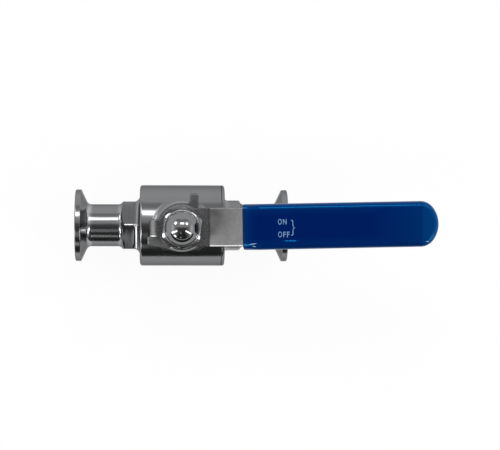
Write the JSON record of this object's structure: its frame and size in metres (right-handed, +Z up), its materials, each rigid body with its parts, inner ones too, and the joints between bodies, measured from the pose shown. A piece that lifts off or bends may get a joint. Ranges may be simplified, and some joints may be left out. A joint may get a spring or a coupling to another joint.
{
  "type": "sanitary ball valve",
  "caption": "Full-bore stainless ball valve with clamp ferrules on both ends, a dome-nutted quarter-turn lever and a blue vinyl sleeve.",
  "frame": {"origin": "centre of the ball, where the flow axis meets the stem axis", "axes": "+X along the flow bore towards the end cap and the lever's grip with the valve open, +Z up the stem"},
  "size_m": [0.1666, 0.0382, 0.0705],
  "materials": {
    "cast_steel": "electropolished stainless casting",
    "lever_steel": "pressed stainless strip, dull with fine pits",
    "bright_steel": "mirror polished stainless",
    "machined_steel": "turned stainless",
    "spring_steel": "rolled stainless spring steel",
    "ptfe": "waxy white fluoropolymer",
    "seal_rubber": "black elastomer",
    "blue_vinyl": "royal blue dipped vinyl with a soft gloss"
  },
  "bodies": {
    "housing": {"body": "cast_steel", "end_cap": "cast_steel", "body_seal": "ptfe", "seat_inlet": "ptfe", "seat_outlet": "ptfe", "thrust_washer": "ptfe", "packing_bottom": "ptfe", "packing_middle": "ptfe", "packing_top": "ptfe", "gland_ring": "machined_steel"},
    "lever_group": {"stem": "machined_steel", "stem_o_ring": "seal_rubber", "disc_spring_lower": "spring_steel", "disc_spring_upper": "spring_steel", "gland_nut": "machined_steel", "handle_lever": "lever_steel", "lock_washer": "spring_steel", "acorn_nut": "bright_steel", "handle_sleeve": "blue_vinyl"},
    "ball_group": {"ball": "bright_steel"}
  },
  "joints": [
    {"name": "handle_turn", "type": "hinge", "parent": "housing", "child": "lever_group", "pos_m": [0, 0, 0], "axis": [0, 0, 1], "range_deg": [-90, 0]},
    {"name": "ball_turn", "type": "hinge", "parent": "housing", "child": "ball_group", "pos_m": [0, 0, 0], "axis": [0, 0, 1], "range_deg": [-90, 0]}
  ],
  "couplings": [
    {"joint": "ball_turn", "follows": "handle_turn", "ratio": 1}
  ]
}
